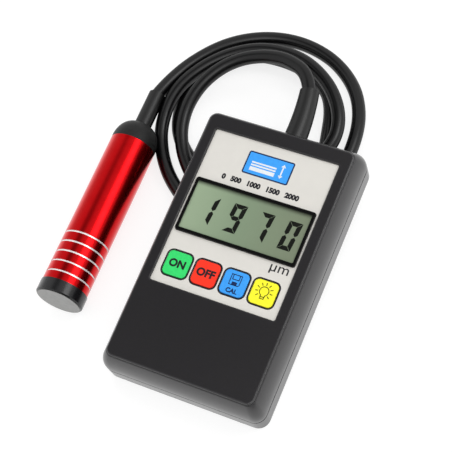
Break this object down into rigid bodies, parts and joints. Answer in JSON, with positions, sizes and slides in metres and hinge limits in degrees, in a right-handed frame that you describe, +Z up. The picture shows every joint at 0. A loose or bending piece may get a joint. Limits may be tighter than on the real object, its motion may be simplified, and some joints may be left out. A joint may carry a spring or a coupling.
{
  "type": "coating thickness gauge",
  "caption": "Hand-held coating thickness gauge with a digital display, coloured keys and a red cylindrical probe on a coiled cable.",
  "frame": {"origin": "on the surface that the gauge lies on, under the middle of the box around the case and the probe", "axes": "+Z up, +Y along the case from its battery end to its cable end, +X to the right when the display is read"},
  "size_m": [0.1138, 0.1759, 0.0337],
  "materials": {
    "case_plastic": "matt",
    "frame_plastic": "satin",
    "printed_film": "satin",
    "window_plastic": "clear",
    "display_glass": "gloss",
    "light_panel": "satin",
    "tinned_metal": "satin",
    "zinc_steel": "satin",
    "green_plastic": "matt",
    "red_plastic": "matt",
    "blue_plastic": "matt",
    "yellow_plastic": "matt",
    "switch_plastic": "matt",
    "board_laminate": "gloss",
    "chip_plastic": "matt",
    "capacitor_sleeve": "gloss",
    "battery_steel": "satin",
    "lead_copper": "gloss",
    "sleeve_rubber": "matt",
    "cable_rubber": "satin",
    "red_aluminium": "anodised, turned",
    "cap_plastic": "matt",
    "collar_plastic": "matt",
    "face_steel": "satin",
    "core_iron": "satin",
    "bobbin_plastic": "matt",
    "coil_copper": "gloss"
  },
  "bodies": {
    "gauge": {"amplifier_chip": "chip_plastic", "battery": "battery_steel", "battery_clip": "frame_plastic", "battery_leads": "lead_copper", "board_screws": "zinc_steel", "cable_clamp": "frame_plastic", "case_screws": "zinc_steel", "clamp_screws": "zinc_steel", "display_backlight": "light_panel", "display_bezel": "frame_plastic", "display_glass": "display_glass", "display_pins": "tinned_metal", "display_window": "window_plastic", "filter_capacitor": "capacitor_sleeve", "front_overlay": "printed_film", "front_shell": "case_plastic", "instrument_sleeve": "sleeve_rubber", "main_board": "board_laminate", "microcontroller": "chip_plastic", "probe_barrel": "red_aluminium", "probe_cable": "cable_rubber", "probe_collar": "collar_plastic", "probe_face": "face_steel", "probe_leads": "lead_copper", "probe_rear_cap": "cap_plastic", "probe_sleeve": "sleeve_rubber", "quartz_crystal": "tinned_metal", "rear_shell": "case_plastic", "sensor_bobbin": "bobbin_plastic", "sensor_coil": "coil_copper", "sensor_core": "core_iron", "signal_leads": "lead_copper", "switch_bodies": "switch_plastic", "voltage_regulator": "chip_plastic"},
    "on_key": {"key_on": "green_plastic", "plunger_on": "switch_plastic"},
    "off_key": {"key_off": "red_plastic", "plunger_off": "switch_plastic"},
    "calibrate_key": {"key_calibrate": "blue_plastic", "plunger_calibrate": "switch_plastic"},
    "backlight_key": {"key_backlight": "yellow_plastic", "plunger_backlight": "switch_plastic"},
    "door": {"battery_door": "case_plastic"}
  },
  "joints": [
    {"name": "on_key_press", "type": "slide", "parent": "gauge", "child": "on_key", "axis": [0, 0.1045, -0.9945], "range_m": [0, 0.0004], "stiffness_N_per_m": 600, "springref_m": -0.0005},
    {"name": "off_key_press", "type": "slide", "parent": "gauge", "child": "off_key", "axis": [0, 0.1045, -0.9945], "range_m": [0, 0.0004], "stiffness_N_per_m": 600, "springref_m": -0.0005},
    {"name": "calibrate_key_press", "type": "slide", "parent": "gauge", "child": "calibrate_key", "axis": [0, 0.1045, -0.9945], "range_m": [0, 0.0004], "stiffness_N_per_m": 600, "springref_m": -0.0005},
    {"name": "backlight_key_press", "type": "slide", "parent": "gauge", "child": "backlight_key", "axis": [0, 0.1045, -0.9945], "range_m": [0, 0.0004], "stiffness_N_per_m": 600, "springref_m": -0.0005},
    {"name": "battery_door_slide", "type": "slide", "parent": "gauge", "child": "door", "axis": [0, -0.9945, -0.1045], "range_m": [0, 0.03]}
  ]
}
